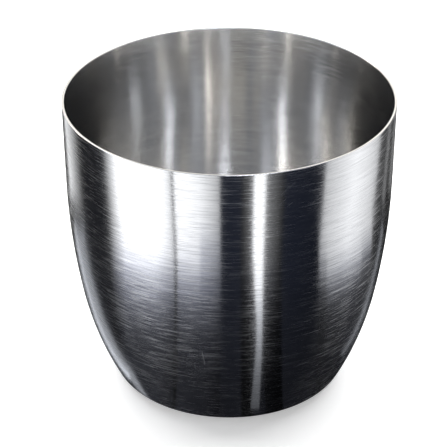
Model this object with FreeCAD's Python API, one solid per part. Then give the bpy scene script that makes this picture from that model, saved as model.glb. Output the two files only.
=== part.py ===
import FreeCAD
import Part

import math
import os

# Deep drawn metal cup: one shell of even thickness, drawn round and trimmed square at the rim.
# Millimetres and degrees. +Z is the cup's axis, and the origin is the middle of its flat base.
#
# The outside runs from the flat base through three tangent arcs (corner, belly, flank) into a
# straight wall with a little draft. The inside is the same curve, one thickness of metal inward.
# A lean is the angle between the side of the cup and its axis: 90 on the base, least at the rim.

# Driving sizes
height = 74.5
base_diameter = 44.0
wall = 0.6
corner_radius = 7.0
belly_radius = 80.0
flank_radius = 165.0
belly_lean = 28.0
flank_lean = 12.0
draft = 1.9
rim_bevel = 0.12

BASE_LEAN = 90.0
AXIS_FOOT = FreeCAD.Vector(0, 0, 0)
AXIS = FreeCAD.Vector(0, 0, 1)

# The two rim bevels leave a narrow flat between them, so each takes under half the wall.
BEVEL_SHARE = 0.45

# Outside arcs from the base upwards: radius, the lean at the arc's upper end, and how many equal
# lengths the arc is made in. Short lengths keep the faces, and so the exported mesh, light.
side_arcs = [
    (corner_radius, belly_lean, 3),
    (belly_radius, flank_lean, 3),
    (flank_radius, draft, 2),
]


def outward(lean):
    """Unit normal, in the XZ plane, of a side that leans this far out from the axis."""
    angle = math.radians(lean)
    return FreeCAD.Vector(math.cos(angle), 0, -math.sin(angle))


def upward(lean):
    """Unit direction up along a side that leans this far out from the axis."""
    angle = math.radians(lean)
    return FreeCAD.Vector(math.sin(angle), 0, math.cos(angle))


def arc_edges(centre, radius, low_lean, high_lean, lengths):
    """An arc of the side between two leans, in equal lengths."""
    half_step = (high_lean - low_lean) / lengths / 2
    edges = []
    for length in range(lengths):
        start = low_lean + 2 * length * half_step
        leans = (start, start + half_step, start + 2 * half_step)
        edges.append(Part.Arc(*[centre + outward(lean) * radius for lean in leans]).toShape())
    return edges


def skin(inset):
    """Edges of the shell from the axis to the drawn end, this far inside the outer surface."""
    corner_start = FreeCAD.Vector(base_diameter / 2, 0, inset)
    edges = [Part.makeLine(FreeCAD.Vector(0, 0, inset), corner_start)]
    centre = FreeCAD.Vector(base_diameter / 2, 0, 0)
    last_radius = 0
    lean = BASE_LEAN
    for radius, high_lean, lengths in side_arcs:
        # Tangent arcs share the normal at their joint, so the centre moves along it.
        centre = centre + outward(lean) * (last_radius - radius)
        edges += arc_edges(centre, radius - inset, lean, high_lean, lengths)
        last_radius = radius
        lean = high_lean
    wall_foot = centre + outward(lean) * (last_radius - inset)
    # The straight wall is drawn a full cup height, well past the rim, and trimmed later.
    edges.append(Part.makeLine(wall_foot, wall_foot + upward(lean) * height))
    return edges


def drawn_shell():
    """The cup as it comes off the punch, with its wall still too tall."""
    outside = skin(0)
    inside = skin(wall)
    drawn_edge = Part.makeLine(outside[-1].Vertexes[-1].Point, inside[-1].Vertexes[-1].Point)
    on_axis = Part.makeLine(outside[0].Vertexes[0].Point, inside[0].Vertexes[0].Point)
    section = Part.Wire(outside + [drawn_edge] + inside[::-1] + [on_axis])
    return Part.Face(section).revolve(AXIS_FOOT, AXIS, 360)


def trimmed(shell):
    """The shell cut square at its finished height."""
    kept = Part.makeCylinder(shell.BoundBox.XMax + wall, height)
    return shell.common(kept)


def deburred(cup):
    """The cup with both edges of its cut rim taken off by a small bevel."""
    at_rim = [edge for edge in cup.Edges if edge.BoundBox.ZMin > height - wall / 2]
    return cup.makeChamfer(min(rim_bevel, wall * BEVEL_SHARE), at_rim)


def cup():
    """The finished cup, one solid."""
    return deburred(trimmed(drawn_shell()))


os.makedirs("parts", exist_ok=True)
cup().exportStep("parts/cup.step")
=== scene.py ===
import math

import bpy
from bpy.props import FloatProperty, FloatVectorProperty, IntProperty, PointerProperty
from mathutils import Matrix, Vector


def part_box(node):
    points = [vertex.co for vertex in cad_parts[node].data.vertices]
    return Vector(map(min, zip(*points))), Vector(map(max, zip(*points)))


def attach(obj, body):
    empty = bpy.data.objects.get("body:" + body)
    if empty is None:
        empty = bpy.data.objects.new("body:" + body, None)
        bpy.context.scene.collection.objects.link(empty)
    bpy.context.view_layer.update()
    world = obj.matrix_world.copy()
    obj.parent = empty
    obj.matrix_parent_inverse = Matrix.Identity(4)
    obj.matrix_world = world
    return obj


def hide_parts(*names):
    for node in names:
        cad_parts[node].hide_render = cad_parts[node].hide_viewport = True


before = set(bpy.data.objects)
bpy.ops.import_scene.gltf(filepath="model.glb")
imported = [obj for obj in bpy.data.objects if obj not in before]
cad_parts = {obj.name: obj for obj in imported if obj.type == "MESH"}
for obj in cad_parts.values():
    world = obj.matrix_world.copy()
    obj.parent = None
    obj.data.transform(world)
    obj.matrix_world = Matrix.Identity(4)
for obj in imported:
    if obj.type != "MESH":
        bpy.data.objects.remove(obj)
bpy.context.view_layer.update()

bl_info = {
    "name": "Deep Drawn Metal Cup",
    "version": (1, 0, 0),
    "blender": (4, 5, 0),
    "location": "View3D > Sidebar > Cup",
    "description": "Models a brushed, deep drawn metal cup and the small studio it stands in",
    "category": "Object",
}

CUP_LOW, CUP_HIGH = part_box("cup")
RIM_HEIGHT = CUP_HIGH.z
RIM_RADIUS = CUP_HIGH.x
MM = 0.001
FULL_TURN = 2 * math.pi
QUARTER_TURN = math.pi / 2


# ---------------------------------------------------------------- sizes and colours


class CupSizes(bpy.types.PropertyGroup):
    """Sizes of the drawn shell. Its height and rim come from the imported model."""

    base_diameter: FloatProperty(
        name="Base diameter", description="Flat that the cup stands on", default=44 * MM, unit="LENGTH"
    )
    wall: FloatProperty(
        name="Wall", description="Thickness of the metal", default=0.6 * MM, unit="LENGTH", precision=5
    )
    corner_radius: FloatProperty(
        name="Corner radius", description="Base corner, outside", default=7 * MM, unit="LENGTH"
    )
    belly_radius: FloatProperty(
        name="Belly radius", description="Lower side, outside", default=80 * MM, unit="LENGTH"
    )
    flank_radius: FloatProperty(
        name="Flank radius", description="Upper side, outside", default=165 * MM, unit="LENGTH"
    )
    belly_lean: FloatProperty(
        name="Belly lean",
        description="Lean from the axis where the corner meets the belly",
        default=math.radians(28),
        subtype="ANGLE",
    )
    flank_lean: FloatProperty(
        name="Flank lean",
        description="Lean from the axis where the belly meets the flank",
        default=math.radians(12),
        subtype="ANGLE",
    )
    draft: FloatProperty(
        name="Draft",
        description="Lean of the straight wall under the rim",
        default=math.radians(1.9),
        subtype="ANGLE",
    )
    rim_round: FloatProperty(
        name="Rim rounding",
        description="Width taken off each edge of the cut rim",
        default=0.16 * MM,
        unit="LENGTH",
        precision=5,
    )
    rim_steps: IntProperty(
        name="Rim steps", description="Faces across each rounded edge of the rim", default=4, min=1
    )
    turn_steps: IntProperty(
        name="Turn steps", description="Faces round the cup", default=360, min=24
    )
    arc_step: FloatProperty(
        name="Arc step",
        description="Largest turn of one face up the side",
        default=math.radians(1.2),
        subtype="ANGLE",
    )


class CupFinish(bpy.types.PropertyGroup):
    """Colours and coarseness of the metal's finishes."""

    steel: FloatVectorProperty(
        name="Steel", description="Colour of the metal", subtype="COLOR", default=(0.7, 0.71, 0.73)
    )
    inside_steel: FloatVectorProperty(
        name="Inside steel",
        description="Colour of the metal inside",
        subtype="COLOR",
        default=(0.75, 0.75, 0.75),
    )
    line_width: FloatProperty(
        name="Line width", description="Typical width of one brush line", default=0.145 * MM, unit="LENGTH"
    )
    line_length: FloatProperty(
        name="Line length", description="Typical length of one brush line", default=9 * MM, unit="LENGTH"
    )
    outside_roughness: FloatProperty(
        name="Outside roughness", description="Of the brushed outside", default=0.172, subtype="FACTOR"
    )
    inside_roughness: FloatProperty(
        name="Inside roughness", description="Of the satin inside", default=0.13, subtype="FACTOR"
    )
    rim_roughness: FloatProperty(
        name="Rim roughness", description="Of the cut and polished rim", default=0.2, subtype="FACTOR"
    )


class CupStudio(bpy.types.PropertyGroup):
    """Where the camera stands and how strong the light is."""

    camera_distance: FloatProperty(
        name="Camera distance", description="From the middle of the rim", default=0.8, unit="LENGTH"
    )
    camera_height_angle: FloatProperty(
        name="Camera height angle",
        description="Of the camera over the rim, seen from the rim's middle",
        default=math.radians(26.22),
        subtype="ANGLE",
    )
    camera_pitch: FloatProperty(
        name="Camera pitch",
        description="How far the camera looks down",
        default=math.radians(28.36),
        subtype="ANGLE",
    )
    camera_yaw: FloatProperty(
        name="Camera yaw",
        description="How far the camera looks left",
        default=math.radians(0.111),
        subtype="ANGLE",
    )
    lens: FloatProperty(name="Lens", description="Focal length in millimetres", default=270.1)
    floor_colour: FloatVectorProperty(
        name="Floor", description="Colour of the floor", subtype="COLOR", default=(0.96, 0.96, 0.96)
    )
    floor_glow: FloatProperty(
        name="Floor glow", description="White that only the camera sees on the floor", default=0.42
    )
    room_light: FloatProperty(
        name="Room light", description="Light that the room throws on the floor", default=0.2
    )
    room_mirrored: FloatProperty(
        name="Mirrored room",
        description="Brightness of the room beyond the cards, as the metal mirrors it",
        default=0.2,
    )
    lamp_power: FloatProperty(name="Lamp power", description="Watts of each soft lamp", default=9.0)
    lamp_side: FloatProperty(
        name="Lamp side",
        description="How far each lamp stands round from the front",
        default=math.radians(127),
        subtype="ANGLE",
    )
    lamp_height: FloatProperty(
        name="Lamp height",
        description="Angle of the lamps over the floor",
        default=math.radians(61),
        subtype="ANGLE",
    )
    lamp_distance: FloatProperty(
        name="Lamp distance", description="From the cup's foot", default=1.0, unit="LENGTH"
    )
    lamp_size: FloatProperty(
        name="Lamp size", description="Diameter of each soft lamp", default=0.9, unit="LENGTH"
    )


# ---------------------------------------------------------------- shader nodes


class Value:
    """A number socket that Python's operators can work with."""

    def __init__(self, nodes, socket):
        self.nodes = nodes
        self.socket = socket

    def maths(self, operation, *values):
        node = self.nodes.add("ShaderNodeMath", {"operation": operation}, *values)
        return Value(self.nodes, node.outputs[0])

    def __add__(self, other):
        return self.maths("ADD", self, other)

    def __radd__(self, other):
        return self.maths("ADD", other, self)

    def __sub__(self, other):
        return self.maths("SUBTRACT", self, other)

    def __rsub__(self, other):
        return self.maths("SUBTRACT", other, self)

    def __mul__(self, other):
        return self.maths("MULTIPLY", self, other)

    def __rmul__(self, other):
        return self.maths("MULTIPLY", other, self)

    def __truediv__(self, other):
        return self.maths("DIVIDE", self, other)

    def __pow__(self, other):
        return self.maths("POWER", self, other)

    def __abs__(self):
        return self.maths("ABSOLUTE", self)


# The Mix node has sockets for numbers, vectors and colours. These are its factor and its colours.
MIX_FACTOR = 0
MIX_FIRST_COLOUR = 6
MIX_SECOND_COLOUR = 7
MIX_COLOUR_RESULT = 2


class Nodes:
    """Builds one material's or world's node tree."""

    def __init__(self, owner):
        owner.use_nodes = True
        self.tree = owner.node_tree
        self.tree.nodes.clear()

    def add(self, kind, settings=None, *values, **named):
        """A node of this kind: settings first, then its inputs by order or by name."""
        node = self.tree.nodes.new(kind)
        for name, setting in (settings or {}).items():
            setattr(node, name, setting)
        inputs = list(enumerate(values)) + [(name.replace("_", " "), v) for name, v in named.items()]
        for key, value in inputs:
            self.feed(node.inputs[key], value)
        return node

    def feed(self, socket, value):
        if isinstance(value, Value):
            value = value.socket
        if isinstance(value, bpy.types.NodeSocket):
            self.tree.links.new(value, socket)
        elif value is not None:
            socket.default_value = value

    def smooth(self, value, low, high):
        """0 below low, 1 above high, smooth between. With low over high it falls instead."""
        settings = {"interpolation_type": "SMOOTHSTEP"}
        flip = low > high
        start, end = (high, low) if flip else (low, high)
        node = self.add("ShaderNodeMapRange", settings, value, start, end)
        stepped = Value(self, node.outputs[0])
        return 1 - stepped if flip else stepped

    def between(self, value, low, high, at_low, at_high):
        """Runs evenly from one value at low to another at high, and stays there outside."""
        node = self.add("ShaderNodeMapRange", None, value, low, high, at_low, at_high)
        return Value(self, node.outputs[0])

    def place(self):
        """Where a point lies on its object, as one vector."""
        return self.add("ShaderNodeTexCoord").outputs["Object"]

    def place_parts(self):
        """Where a point lies on its object, as x, y and z."""
        split = self.add("ShaderNodeSeparateXYZ", None, self.place())
        return [Value(self, socket) for socket in split.outputs]

    def noise(self, place, scale, detail, roughness=0.5):
        inputs = {"Vector": place, "Scale": scale, "Detail": detail, "Roughness": roughness}
        node = self.add("ShaderNodeTexNoise", {"noise_dimensions": "3D"}, **inputs)
        return Value(self, node.outputs[0])

    def vector(self, x, y, z):
        return self.add("ShaderNodeCombineXYZ", None, x, y, z).outputs[0]

    def vector_maths(self, operation, *values):
        return self.add("ShaderNodeVectorMath", {"operation": operation}, *values).outputs[0]

    def scaled(self, vector, factor):
        node = self.add("ShaderNodeVectorMath", {"operation": "SCALE"}, Vector=vector, Scale=factor)
        return node.outputs[0]

    def mixed(self, factor, first, second):
        """The first colour where the factor is 0, and the second where it is 1."""
        node = self.add("ShaderNodeMix", {"data_type": "RGBA"})
        self.feed(node.inputs[MIX_FACTOR], factor)
        self.feed(node.inputs[MIX_FIRST_COLOUR], first)
        self.feed(node.inputs[MIX_SECOND_COLOUR], second)
        return node.outputs[MIX_COLOUR_RESULT]


def colour4(colour, factor=1.0):
    """A colour socket's four numbers, with this share of the colour's brightness."""
    return tuple(channel * factor for channel in colour) + (1.0,)


# ---------------------------------------------------------------- finishes


# Sets of brush lines: length and width as shares of the typical line, the noise's detail, and how
# far the pattern is moved along, so that no two sets fall together.
FINE_LINES = (1.0, 1.0, 2.0, 0.0)
BROAD_LINES = (2.5, 3.0, 2.0, 40.0)
RISING_HAIRS = (0.8, 1.3, 1.0, 60.0)
FALLING_HAIRS = (0.8, 1.3, 1.0, 90.0)
BROAD_SHARE = 0.4
LINE_NOISE_ROUGHNESS = 0.6
# The noise is about 0.5, and a hair stands out only where its noise is well over that.
MIDDLE = 0.5
HAIR_STARTS = 0.56
HAIR_WHOLE = 0.68
# Slow changes are patches about two typical lines across.
SLOW_SCALE = 0.5
SLOW_ROUGHNESS = 0.04
LINE_CONTRAST = 1.5

# How the lines show on each side of the metal. Tilts are slopes of the surface, sideways round the
# cup or upright. Dark and bright are shares of the steel's colour, in the lines and between them.
OUTSIDE_LINES = {
    "seed": 3.0,
    "sideways_tilt": 0.012,
    "upright_tilt": 0.12,
    "hair_tilt": 0.029,
    "dark": 0.8,
    "bright": 1.15,
    "hair_roughness": 0.105,
    "anisotropy": 0.9,
}
INSIDE_LINES = {
    "seed": 7.0,
    "sideways_tilt": 0.004,
    "upright_tilt": 0.03,
    "hair_tilt": 0.0,
    "dark": 0.87,
    "bright": 1.13,
    "hair_roughness": 0.06,
    "anisotropy": 0.95,
}
# The rim's dark and bright are over 1, a painted highlight: the same steel made lighter so that the rim line
# shows whiter.
RIM_LINES_AND_HIGHLIGHT = {"seed": 11.0, "tilt": 0.1, "dark": 1.2, "bright": 1.35, "hair_roughness": 0.1}
# Turn of the anisotropy with which metal brushed round its axis spreads light up and down.
SPREAD_UPRIGHT = 0.25


def brushed(nodes, finish, seed):
    """Soft brush lines about 0.5, two sets of sparse hairs from 0 to 1, and slow changes about 0.5."""
    x, y, z = nodes.place_parts()
    up_the_side = z + (x * x + y * y) ** 0.5

    def lines(length_share, width_share, detail, shift):
        length = finish.line_length * length_share
        width = finish.line_width * width_share
        stretched = nodes.vector(x / length + (seed + shift), y / length, up_the_side / width)
        return nodes.noise(stretched, 1.0, detail, LINE_NOISE_ROUGHNESS)

    soft = lines(*FINE_LINES) + lines(*BROAD_LINES) * BROAD_SHARE - BROAD_SHARE * MIDDLE
    rising = nodes.smooth(lines(*RISING_HAIRS), HAIR_STARTS, HAIR_WHOLE)
    falling = nodes.smooth(lines(*FALLING_HAIRS), HAIR_STARTS, HAIR_WHOLE)
    length = finish.line_length
    slow = nodes.noise(nodes.vector(x / length, y / length, z / length), SLOW_SCALE, 1.0)
    return soft, rising, falling, slow


def steel_shader(nodes, base, roughness, normal, anisotropy=0.0, turned=0.0):
    inputs = {"Base_Color": base, "Metallic": 1.0, "Roughness": roughness, "Normal": normal}
    inputs.update({"Anisotropic": anisotropy, "Anisotropic_Rotation": turned})
    shader = nodes.add("ShaderNodeBsdfPrincipled", None, **inputs)
    nodes.add("ShaderNodeOutputMaterial", None, Surface=shader.outputs[0])


def angle_round(x, y):
    """Angle round the axis, from the front to the right."""
    return x.maths("ARCTAN2", x, y * -1)


def tilted_normal(nodes, sideways, upright):
    """The surface's normal, tilted a little round the cup and a little up and down it."""
    normal = nodes.add("ShaderNodeNewGeometry").outputs["Normal"]
    around = nodes.vector_maths("CROSS_PRODUCT", (0.0, 0.0, 1.0), normal)
    upward = nodes.vector_maths("CROSS_PRODUCT", normal, around)
    tilted = nodes.vector_maths("ADD", normal, nodes.scaled(around, sideways))
    tilted = nodes.vector_maths("ADD", tilted, nodes.scaled(upward, upright))
    return nodes.vector_maths("NORMALIZE", tilted)


# Stray scratches: angle round from the front, height, length and slope from the brush lines.
# Each fades out from its core to its edge, on both sides of its middle line.
SCRATCH_EDGE = 0.1 * MM
SCRATCH_CORE = 0.04 * MM
SCRATCH_ROUGHNESS = 0.14
SCRATCHES = [
    (math.radians(-9.8), 23.1 * MM, 5.6 * MM, math.radians(-82)),
    (math.radians(19.0), 69.6 * MM, 3.4 * MM, math.radians(46)),
    (math.radians(21.2), 70.6 * MM, 3.0 * MM, math.radians(43)),
    (math.radians(18.1), 66.6 * MM, 3.0 * MM, math.radians(40)),
    (math.radians(20.6), 65.6 * MM, 2.4 * MM, math.radians(36)),
    (math.radians(16.6), 58.8 * MM, 1.8 * MM, math.radians(25)),
    (math.radians(45.3), 41.1 * MM, 2.4 * MM, math.radians(18)),
]


def scratches(nodes):
    """1 along each stray scratch, 0 elsewhere."""
    x, y, z = nodes.place_parts()
    angle = angle_round(x, y)
    total = None
    for centre, height, length, slope in SCRATCHES:
        round_it = (angle - centre) * RIM_RADIUS
        up_it = z - height
        along = abs(round_it * math.cos(slope) + up_it * math.sin(slope))
        across = abs(up_it * math.cos(slope) - round_it * math.sin(slope))
        mark = nodes.smooth(along, length / 2, length / 4) * nodes.smooth(across, SCRATCH_EDGE, SCRATCH_CORE)
        total = mark if total is None else total + mark
    return total


def brushed_material(name, finish, steel, roughness, look, scratched=False):
    """Steel brushed round the axis, with fine lines and sparse hairs."""
    material = bpy.data.materials.new(name)
    nodes = Nodes(material)
    soft, rising, falling, slow = brushed(nodes, finish, look["seed"])
    lines = soft - MIDDLE
    upright = lines * look["upright_tilt"] + (rising - falling) * look["hair_tilt"]
    normal = tilted_normal(nodes, lines * look["sideways_tilt"], upright)
    shade = MIDDLE + lines * LINE_CONTRAST
    base = nodes.mixed(shade, colour4(steel, look["dark"]), colour4(steel, look["bright"]))
    roughness = roughness + (rising + falling) * look["hair_roughness"] + (slow - MIDDLE) * SLOW_ROUGHNESS
    if scratched:
        roughness = roughness + scratches(nodes) * SCRATCH_ROUGHNESS
    steel_shader(nodes, base, roughness, normal, look["anisotropy"], SPREAD_UPRIGHT)
    return material


def outside_material(finish):
    """Stainless steel with fine lines and a few stray scratches."""
    roughness = finish.outside_roughness
    return brushed_material("brushed_outside", finish, finish.steel, roughness, OUTSIDE_LINES, scratched=True)


def inside_material(finish):
    """The same steel inside, with a softer satin finish."""
    steel, roughness = finish.inside_steel, finish.inside_roughness
    return brushed_material("satin_inside", finish, steel, roughness, INSIDE_LINES)


def rim_material(finish):
    """The cut edge, polished, with a painted highlight: its colour is 1.2 to 1.35 times the steel's, which
    whitens the rim line.
    """
    material = bpy.data.materials.new("cut_rim")
    nodes = Nodes(material)
    look = RIM_LINES_AND_HIGHLIGHT
    soft, rising, falling, slow = brushed(nodes, finish, look["seed"])
    normal = tilted_normal(nodes, (soft - MIDDLE) * look["tilt"], (slow - MIDDLE) * look["tilt"])
    # Painted highlight: the rim's colour runs from 1.2 to 1.35 times the steel's.
    base = nodes.mixed(soft, colour4(finish.steel, look["dark"]), colour4(finish.steel, look["bright"]))
    steel_shader(nodes, base, finish.rim_roughness + rising * look["hair_roughness"], normal)
    return material


# ---------------------------------------------------------------- the drawn shell


# Order of the shell's materials.
OUTSIDE, INSIDE, RIM = range(3)

# How near points have to be to count as the same, or as lying on the rim.
MERGE_DISTANCE = 0.002 * MM
RIM_LEVEL_SLACK = 0.01 * MM
RIM_RING_SLACK = 0.02 * MM
RIM_SIZE_SLACK = 0.1 * MM

# A face whose normal points up by more than this is the inside floor, not the side.
FACES_UP = 0.5
# Faces within this many roundings of the top belong to the rim.
RIM_DEPTH = 1.02


def outward(lean):
    """Unit normal, in the XZ plane, of a side that leans this far out from the axis."""
    return Vector((math.cos(lean), 0, -math.sin(lean)))


def side_points(sizes, inset):
    """Points of the shell from the base's edge up to the rim, this far inside the outer surface."""
    arcs = [
        (sizes.corner_radius, sizes.belly_lean),
        (sizes.belly_radius, sizes.flank_lean),
        (sizes.flank_radius, sizes.draft),
    ]
    centre = Vector((sizes.base_diameter / 2, 0, 0))
    last_radius = 0
    lean = QUARTER_TURN
    points = [centre + outward(lean) * -inset]
    for radius, high_lean in arcs:
        centre = centre + outward(lean) * (last_radius - radius)
        steps = math.ceil((lean - high_lean) / sizes.arc_step)
        for step in range(1, steps + 1):
            turned = lean + (high_lean - lean) * step / steps
            points.append(centre + outward(turned) * (radius - inset))
        last_radius = radius
        lean = high_lean
    foot = points[-1]
    rise = RIM_HEIGHT - foot.z
    points.append(Vector((foot.x + rise * math.tan(sizes.draft), 0, RIM_HEIGHT)))
    return points


def deselect_everything():
    for thing in list(bpy.context.selected_objects):
        thing.select_set(False)


def select_edges(mesh_object, wanted):
    """Selects, in edit mode, only the edges whose two ends both pass the test."""
    bpy.ops.mesh.select_all(action="DESELECT")
    bpy.ops.object.mode_set(mode="OBJECT")
    mesh = mesh_object.data
    for edge in mesh.edges:
        edge.select = all(wanted(mesh.vertices[index].co) for index in edge.vertices)
    bpy.ops.object.mode_set(mode="EDIT")


def drawn_line(name, points):
    """A new object, left in edit mode, whose edges join these points in order."""
    deselect_everything()
    bpy.ops.mesh.primitive_plane_add(size=MM, location=(0, 0, 0))
    drawn = bpy.context.object
    drawn.name = drawn.data.name = name
    bpy.ops.object.mode_set(mode="EDIT")
    bpy.ops.mesh.select_mode(type="VERT")
    bpy.ops.mesh.merge(type="CENTER")
    bpy.ops.transform.translate(value=points[0])
    for start, end in zip(points, points[1:]):
        bpy.ops.mesh.extrude_vertices_move(TRANSFORM_OT_translate={"value": end - start})
    return drawn


class CUP_OT_shell(bpy.types.Operator):
    """Draw the cup's section, spin it into a closed shell and round its rim"""

    bl_idname = "cup.shell"
    bl_label = "Drawn Shell"

    def execute(self, context):
        sizes = context.scene.cup_sizes
        outside = side_points(sizes, 0)
        inside = side_points(sizes, sizes.wall)
        if abs(outside[-1].x - RIM_RADIUS) > RIM_SIZE_SLACK:
            raise RuntimeError("The shell's sizes don't reach the packed model's rim")
        floor_middle = Vector((0, 0, sizes.wall))
        section = [Vector((0, 0, 0))] + outside + inside[::-1] + [floor_middle]
        shell = drawn_line("drawn_shell", section)
        bpy.ops.mesh.select_all(action="SELECT")
        bpy.ops.mesh.spin(steps=sizes.turn_steps, angle=FULL_TURN, center=(0, 0, 0), axis=(0, 0, 1))
        bpy.ops.mesh.select_all(action="SELECT")
        bpy.ops.mesh.remove_doubles(threshold=MERGE_DISTANCE)
        bpy.ops.mesh.normals_make_consistent(inside=False)
        bpy.ops.mesh.select_mode(type="EDGE")
        rim_radii = (outside[-1].x, inside[-1].x)

        def on_rim_edge(point):
            radius = math.hypot(point.x, point.y)
            on_a_ring = min(abs(radius - ring) for ring in rim_radii) < RIM_RING_SLACK
            return on_a_ring and point.z > RIM_HEIGHT - RIM_LEVEL_SLACK

        select_edges(shell, on_rim_edge)
        self.keep_rings(shell)
        bpy.ops.mesh.bevel(offset=sizes.rim_round, segments=sizes.rim_steps, profile=0.5)
        bpy.ops.object.mode_set(mode="OBJECT")
        bpy.ops.object.shade_smooth()
        self.dress(context, shell, sizes)
        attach(shell, "root")
        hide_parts("cup")
        return {"FINISHED"}

    def keep_rings(self, shell):
        """Drops the selected edges that cross the rim, which leaves its two rings."""
        bpy.ops.object.mode_set(mode="OBJECT")
        mesh = shell.data
        for edge in mesh.edges:
            if edge.select:
                start, end = (math.hypot(*mesh.vertices[index].co.xy) for index in edge.vertices)
                edge.select = abs(start - end) < RIM_RING_SLACK
        bpy.ops.object.mode_set(mode="EDIT")

    def dress(self, context, shell, sizes):
        """Gives each face the finish of the outside, the inside or the rim."""
        finish = context.scene.cup_finish
        for material in (outside_material(finish), inside_material(finish), rim_material(finish)):
            shell.data.materials.append(material)
        rim_foot = RIM_HEIGHT - sizes.rim_round * RIM_DEPTH
        for face in shell.data.polygons:
            middle = face.center
            faces_axis = face.normal.x * middle.x + face.normal.y * middle.y < 0
            over_base = middle.z >= sizes.wall / 2
            if middle.z > rim_foot:
                face.material_index = RIM
            elif over_base and (faces_axis or face.normal.z > FACES_UP):
                face.material_index = INSIDE
            else:
                face.material_index = OUTSIDE


# ---------------------------------------------------------------- studio


# The dark table round the cup, and the cards that stand at its edge.
TABLE_EDGE = 0.115
TABLE_FOOT = 0.03
LOW_CARD_TOP = 0.09
# Curved parts are made of flat lengths that each turn by this much at most.
CARD_STEP = math.radians(3)

# The parts of the table lie this far over the floor, so that none hides another.
DARK_TABLE_LIFT = 0.1 * MM
TABLE_LIFT = 0.15 * MM
SHAPE_LIFT = 0.2 * MM
SHAPE_LIFT_STEP = 0.05 * MM

FLOOR_WIDTH = 12.0
PAPER_GRAIN = 900.0
PAPER_GRAIN_DETAIL = 3.0
PAPER_SHADE = 0.985
PAPER_ROUGHNESS = 0.9
FILM_WIDTH = 36.0

# Colours of the cards.
PLAIN = (1.0, 1.0, 1.0)
WARM = (1.0, 0.95, 0.86)
BEIGE = (1.0, 0.92, 0.84)
NAVY = (0.75, 0.92, 1.55)
DUSK = (0.82, 0.87, 1.14)
COOL = (0.95, 0.98, 1.05)


def only_mirrored(card):
    """The metal mirrors the card, and it neither shows nor shades anything."""
    card.visible_camera = False
    card.visible_diffuse = False
    card.visible_transmission = False
    card.visible_volume_scatter = False
    card.visible_shadow = False


def card_glow(card):
    """A glow that runs from one end of the card to the other, and fades over the table to the foot."""
    material = bpy.data.materials.new(card["name"])
    nodes = Nodes(material)
    x, y, z = nodes.place_parts()
    run = (x * x + y * y) ** 0.5 + z
    start, end = (math.radians(degrees) for degrees in card["reach"])
    along = nodes.between(angle_round(x, y), start, end, *card["glow"])
    full = card.get("full", TABLE_EDGE)
    away = nodes.between(run, TABLE_FOOT, full, 0.0, 1.0) ** card.get("fade", 1.0)
    foot = card.get("foot", 0.0)
    glow = along * (foot + (1 - foot) * away)
    colour = nodes.mixed(away, colour4(card.get("foot_colour", DUSK)), colour4(card.get("colour", PLAIN)))
    shader = nodes.add("ShaderNodeEmission", None, Color=nodes.scaled(colour, glow))
    nodes.add("ShaderNodeOutputMaterial", None, Surface=shader.outputs[0])
    return material


def ring_part(name, reach, rings, material):
    """A curved strip round the cup between two rings, each a radius and a height."""
    start, end = (math.radians(degrees) for degrees in reach)
    line = [Vector((radius * math.sin(start), -radius * math.cos(start), height)) for radius, height in rings]
    strip = drawn_line(name, line)
    steps = max(2, math.ceil((end - start) / CARD_STEP))
    bpy.ops.mesh.select_all(action="SELECT")
    # Spin turns clockwise, seen from above, for a positive angle, and a reach runs the other way.
    bpy.ops.mesh.spin(steps=steps, angle=start - end, center=(0, 0, 0), axis=(0, 0, 1))
    bpy.ops.object.mode_set(mode="OBJECT")
    strip.data.materials.append(material)
    only_mirrored(strip)


def table_rings(lifted):
    """The table's two rings, close round the axis and at its edge, this far over the floor."""
    return [(MM, lifted), (TABLE_EDGE, lifted)]


def table_shape(name, corners, lifted, material):
    """A flat shape that lies on the table, this far over the floor."""
    shape = drawn_line(name, [Vector((x * MM, y * MM, lifted)) for x, y in corners])
    bpy.ops.mesh.select_all(action="SELECT")
    bpy.ops.mesh.edge_face_add()
    bpy.ops.object.mode_set(mode="OBJECT")
    shape.data.materials.append(material)
    only_mirrored(shape)


# What a card says:
# reach: its two ends, in degrees round from the front to the right.
# glow: how bright it is at each end. 1 is white.
# colour, foot_colour: its colour when bright, and at the cup's foot.
# foot: the share of its glow that is left at the cup's foot.
# full: how far from the axis, in metres, it has its whole glow. Height counts as distance too.
# fade: how steeply it falls from there to the foot. 1 is even.
# table: whether its glow also lies on the table. If not, only its upright part is made.

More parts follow.
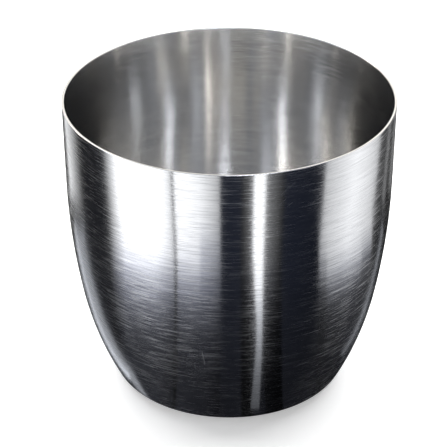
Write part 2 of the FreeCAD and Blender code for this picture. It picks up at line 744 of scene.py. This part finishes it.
# Cards round the foot, in order.
LOW_CARDS = [
    {"name": "edge_left_line", "reach": (-132.5, -125), "glow": (1.3, 1.1), "table": False},
    {"name": "edge_left", "reach": (-125, -106), "glow": (1.0, 0.03), "table": False},
    {"name": "dark_left", "reach": (-106, -79), "glow": (0.01, 0.01), "foot": 1.0, "colour": DUSK},
    {"name": "rise_left", "reach": (-79, -67.5), "glow": (0.02, 1.9), "foot": 0.01, "fade": 5},
    {"name": "white_left", "reach": (-67.5, -44), "glow": (2.3, 2.3), "foot": 0.009, "fade": 5},
    {"name": "white_left_end", "reach": (-44, -32.6), "glow": (2.2, 1.15), "foot": 0.009, "fade": 5},
    {"name": "gap_left", "reach": (-32.6, -30.8), "glow": (0.0, 0.0)},
    {"name": "white_mid", "reach": (-30.8, -17), "glow": (1.8, 1.4), "full": 0.12, "foot": 0.01, "fade": 5},
    {"name": "grey_mid", "reach": (-17, -5), "glow": (1.45, 0.6), "full": 0.135, "foot": 0.01, "fade": 4},
    {"name": "dark_front", "reach": (-5, 6.8), "glow": (0.016, 0.018), "foot": 0.7, "colour": NAVY},
    {"name": "strip_rise", "reach": (6.8, 13.3), "glow": (0.01, 0.17), "foot": 0.01, "fade": 6},
    {"name": "strip_left", "reach": (13.3, 15.2), "glow": (1.4, 1.9), "table": False},
    {"name": "strip_core", "reach": (15.2, 18.2), "glow": (2.1, 2.1), "table": False},
    {"name": "strip_right", "reach": (18.2, 20.3), "glow": (1.7, 1.5), "table": False},
    {"name": "strip_fall", "reach": (20.3, 31), "glow": (0.25, 0.01), "foot": 0.01, "fade": 6},
    {"name": "dark_right", "reach": (31, 56.2), "glow": (0.018, 0.01), "foot": 0.6, "colour": NAVY},
    {"name": "grey_rise", "reach": (56.2, 62), "glow": (0.75, 0.9), "full": 0.105, "foot": 0.006, "fade": 12},
    {"name": "grey_right", "reach": (62, 80), "glow": (0.9, 1.35), "full": 0.097, "foot": 0.007, "fade": 10},
    {"name": "grey_far", "reach": (80, 93), "glow": (1.35, 1.1), "full": 0.097, "foot": 0.01, "fade": 11},
    {"name": "grey_last", "reach": (93, 105.5), "glow": (1.1, 0.75), "full": 0.1, "foot": 0.01, "fade": 14},
    {"name": "dark_far_right", "reach": (105.5, 119), "glow": (0.06, 0.06), "table": False},
    {"name": "edge_right_line", "reach": (119, 124), "glow": (0.4, 0.35), "table": False},
    {"name": "edge_right_gap", "reach": (124, 132), "glow": (0.01, 0.01), "table": False},
    {"name": "edge_right", "reach": (132, 142), "glow": (0.25, 0.3), "table": False},
    {"name": "dark_back_right", "reach": (142, 152), "glow": (0.012, 0.012), "table": False},
    {"name": "grey_back_right", "reach": (152, 181), "glow": (0.8, 1.4), "foot": 0.01, "fade": 6},
    {"name": "dark_back", "reach": (181, 186), "glow": (0.012, 0.012), "table": False},
    {"name": "grey_back_left", "reach": (186, 207), "glow": (1.4, 0.7), "foot": 0.01, "fade": 6},
    {"name": "dark_back_left", "reach": (207, 227.5), "glow": (0.012, 0.012), "table": False},
]

# Pale shapes on the table: two that the cup's left side mirrors near its outline, one for its right
# side, and the narrow strip in front. Each has the same glow all over. Corners are in millimetres,
# right and back of the axis.
TABLE_SHAPES = [
    {
        "name": "edge_left_table",
        "corners": [(-20, -18), (-27, -12), (-50, 20), (-73, 60), (-97, 35), (-48, -4), (-31, -15)],
        "glow": 0.42,
        "foot": 1.0,
        "colour": COOL,
        "foot_colour": COOL,
    },
    {
        "name": "edge_left_core",
        "corners": [(-27, -12), (-50, 20), (-73, 60), (-79, 55), (-50, 12), (-30, -12)],
        "glow": 1.1,
        "foot": 1.0,
        "colour": COOL,
        "foot_colour": COOL,
    },
    {
        "name": "edge_right_table",
        "corners": [(36, -6), (50, 18), (77, 57), (82, 52), (54, 14), (37, -7)],
        "glow": 0.4,
        "foot": 1.0,
        "colour": COOL,
        "foot_colour": COOL,
    },
    {
        "name": "strip_table",
        "corners": [(28.5, -111), (39.5, -108), (21.4, -61), (8.4, -28), (6, -29), (11.3, -44), (18, -62)],
        "glow": 2.2,
        "foot": 0.05,
        "fade": 1.7,
        "foot_colour": COOL,
    },
]

# Cards over the rim, which the inside mirrors. A ring is a radius and a height.
HIGH_RINGS = [(0.4, 0.15), (0.4, 0.6)]
HIGH_CARDS = [
    {"name": "high_back", "reach": (130, 208), "glow": (1.05, 1.2), "colour": WARM},
    {"name": "high_beige", "reach": (-152, -124), "glow": (1.25, 1.5), "colour": BEIGE},
    {"name": "high_warm", "reach": (-124, -115), "glow": (6.5, 6.5), "colour": WARM},
    {"name": "high_soft", "reach": (-115, -92), "glow": (0.85, 0.9), "colour": COOL},
    {"name": "high_left", "reach": (-92, -72), "glow": (1.6, 1.2), "colour": COOL},
    {"name": "high_front", "reach": (-72, 20), "glow": (0.38, 0.38), "colour": COOL},
    {"name": "high_right", "reach": (20, 95), "glow": (0.42, 0.52), "colour": COOL},
    {"name": "high_line", "reach": (95, 112), "glow": (0.9, 0.9), "colour": WARM},
    {"name": "high_side", "reach": (112, 130), "glow": (0.52, 0.52), "colour": COOL},
]

# A small bright card close over the front of the rim, for the streak in the middle of the inside.
NEAR_RINGS = [(0.07, 0.12), (0.07, 0.165)]
NEAR_CARD = {"name": "near_front", "reach": (0, 24), "glow": (8.0, 8.0), "colour": COOL}

ALL_ROUND = (-180, 180)
DARK_TABLE = {"name": "dark_table", "reach": ALL_ROUND, "glow": (0.01, 0.01), "foot": 1.0}


class CUP_OT_studio(bpy.types.Operator):
    """Set up the pale floor, the soft light, the cards that the metal mirrors and the camera"""

    bl_idname = "cup.studio"
    bl_label = "Studio"

    def execute(self, context):
        studio = context.scene.cup_studio
        self.floor(studio)
        self.cards()
        self.world(context, studio)
        self.lamps(context, studio)
        self.camera(context, studio)
        context.scene.view_settings.view_transform = "Standard"
        return {"FINISHED"}

    def floor(self, studio):
        deselect_everything()
        bpy.ops.mesh.primitive_plane_add(size=FLOOR_WIDTH, location=(0, 0, CUP_LOW.z))
        floor = bpy.context.object
        floor.name = floor.data.name = "floor"
        material = bpy.data.materials.new("pale_floor")
        nodes = Nodes(material)
        grain = nodes.noise(nodes.place(), PAPER_GRAIN, PAPER_GRAIN_DETAIL)
        paper = nodes.mixed(grain, colour4(studio.floor_colour, PAPER_SHADE), colour4(studio.floor_colour))
        inputs = {"Base_Color": paper, "Roughness": PAPER_ROUGHNESS, "Specular_IOR_Level": 0.0}
        lit = nodes.add("ShaderNodeBsdfPrincipled", None, **inputs)
        seen = Value(nodes, nodes.add("ShaderNodeLightPath").outputs["Is Camera Ray"])
        glow = nodes.scaled(PLAIN, seen * studio.floor_glow)
        white = nodes.add("ShaderNodeEmission", None, Color=glow)
        both = nodes.add("ShaderNodeAddShader", None, lit.outputs[0], white.outputs[0])
        nodes.add("ShaderNodeOutputMaterial", None, Surface=both.outputs[0])
        floor.data.materials.append(material)

    def cards(self):
        upright = [(TABLE_EDGE, 0.0), (TABLE_EDGE, LOW_CARD_TOP)]
        for card in LOW_CARDS:
            material = card_glow(card)
            ring_part(card["name"], card["reach"], upright, material)
            if card.get("table", True):
                ring_part(card["name"] + "_table", card["reach"], table_rings(TABLE_LIFT), material)
        for card in HIGH_CARDS:
            ring_part(card["name"], card["reach"], HIGH_RINGS, card_glow(card))
        ring_part(NEAR_CARD["name"], NEAR_CARD["reach"], NEAR_RINGS, card_glow(NEAR_CARD))
        dark_rings = table_rings(DARK_TABLE_LIFT)
        ring_part(DARK_TABLE["name"], DARK_TABLE["reach"], dark_rings, card_glow(DARK_TABLE))
        for number, shape in enumerate(TABLE_SHAPES):
            material = card_glow({**shape, "reach": ALL_ROUND, "glow": (shape["glow"], shape["glow"])})
            table_shape(shape["name"], shape["corners"], SHAPE_LIFT + number * SHAPE_LIFT_STEP, material)

    def world(self, context, studio):
        world = bpy.data.worlds.new("pale_room")
        context.scene.world = world
        nodes = Nodes(world)
        ray = nodes.add("ShaderNodeLightPath")
        seen = Value(nodes, ray.outputs["Is Camera Ray"])
        mirrored = Value(nodes, ray.outputs["Is Glossy Ray"])
        light = studio.room_light
        plain = nodes.scaled(PLAIN, light + seen * (1 - light))
        dusky = nodes.scaled(DUSK, studio.room_mirrored)
        background = nodes.add("ShaderNodeBackground", None, Color=nodes.mixed(mirrored, plain, dusky))
        nodes.add("ShaderNodeOutputWorld", None, Surface=background.outputs[0])

    def lamps(self, context, studio):
        for name, side in (("lamp_left", -1), ("lamp_right", 1)):
            light = bpy.data.lights.new(name, "AREA")
            light.shape = "DISK"
            light.size = studio.lamp_size
            light.energy = studio.lamp_power
            lamp = bpy.data.objects.new(name, light)
            angle = side * studio.lamp_side
            level = math.cos(studio.lamp_height)
            away = Vector((level * math.sin(angle), -level * math.cos(angle), math.sin(studio.lamp_height)))
            lamp.location = away * studio.lamp_distance
            lamp.rotation_euler = away.to_track_quat("Z", "Y").to_euler()
            lamp.visible_glossy = False
            context.scene.collection.objects.link(lamp)

    def camera(self, context, studio):
        lens = bpy.data.cameras.new("camera")
        lens.lens = studio.lens
        lens.sensor_width = FILM_WIDTH
        camera = bpy.data.objects.new("camera", lens)
        rise = studio.camera_height_angle
        distance = studio.camera_distance
        rim_middle = Vector((0, 0, RIM_HEIGHT))
        camera.location = rim_middle + distance * Vector((0, -math.cos(rise), math.sin(rise)))
        camera.rotation_euler = (QUARTER_TURN - studio.camera_pitch, 0, studio.camera_yaw)
        context.scene.collection.objects.link(camera)
        context.scene.camera = camera


class CUP_PT_panel(bpy.types.Panel):
    """Lists the steps that build the cup and its studio"""

    bl_label = "Drawn Cup"
    bl_idname = "CUP_PT_panel"
    bl_space_type = "VIEW_3D"
    bl_region_type = "UI"
    bl_category = "Cup"

    def draw(self, context):
        for operator in (CUP_OT_shell, CUP_OT_studio):
            self.layout.operator(operator.bl_idname)
        for group in ("cup_sizes", "cup_finish", "cup_studio"):
            settings = getattr(context.scene, group)
            column = self.layout.column(align=True)
            for name in settings.__annotations__:
                column.prop(settings, name)


CLASSES = (CupSizes, CupFinish, CupStudio, CUP_OT_shell, CUP_OT_studio, CUP_PT_panel)


def register():
    for cls in CLASSES:
        bpy.utils.register_class(cls)
    bpy.types.Scene.cup_sizes = PointerProperty(type=CupSizes)
    bpy.types.Scene.cup_finish = PointerProperty(type=CupFinish)
    bpy.types.Scene.cup_studio = PointerProperty(type=CupStudio)


def unregister():
    del bpy.types.Scene.cup_studio
    del bpy.types.Scene.cup_finish
    del bpy.types.Scene.cup_sizes
    for cls in reversed(CLASSES):
        bpy.utils.unregister_class(cls)


def main():
    register()
    bpy.ops.cup.shell()
    bpy.ops.cup.studio()


if __name__ == "__main__":
    main()
